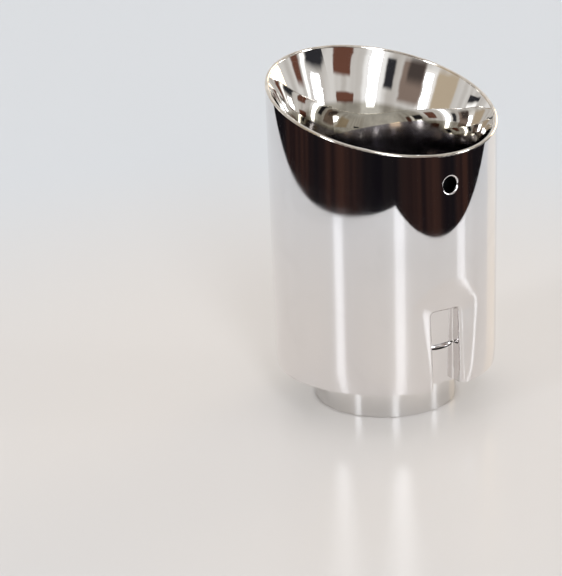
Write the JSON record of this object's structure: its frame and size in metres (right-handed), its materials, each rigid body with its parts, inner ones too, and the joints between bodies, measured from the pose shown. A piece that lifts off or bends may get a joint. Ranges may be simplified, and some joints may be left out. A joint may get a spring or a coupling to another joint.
{
  "type": "exhaust tip",
  "caption": "Slant-cut double-wall exhaust tip in polished steel, with a rolled lip, a flared liner, a drain hole, a pressed pocket and a slip-on inlet sleeve.",
  "frame": {"origin": "centre of the inlet sleeve's lower end, on the surface that the tip stands on", "axes": "+Z along the tip's axis from the inlet to the mouth; -Y towards the short side of the mouth, the drain hole and the pocket"},
  "size_m": [0.1, 0.1, 0.1534],
  "materials": {
    "shell_polish": "mirror polish",
    "liner_polish": "mirror polish",
    "sleeve_polish": "polished, slightly dull"
  },
  "bodies": {
    "root": {"outer_shell": "shell_polish", "inner_liner": "liner_polish", "inlet_sleeve": "sleeve_polish"}
  },
  "joints": []
}
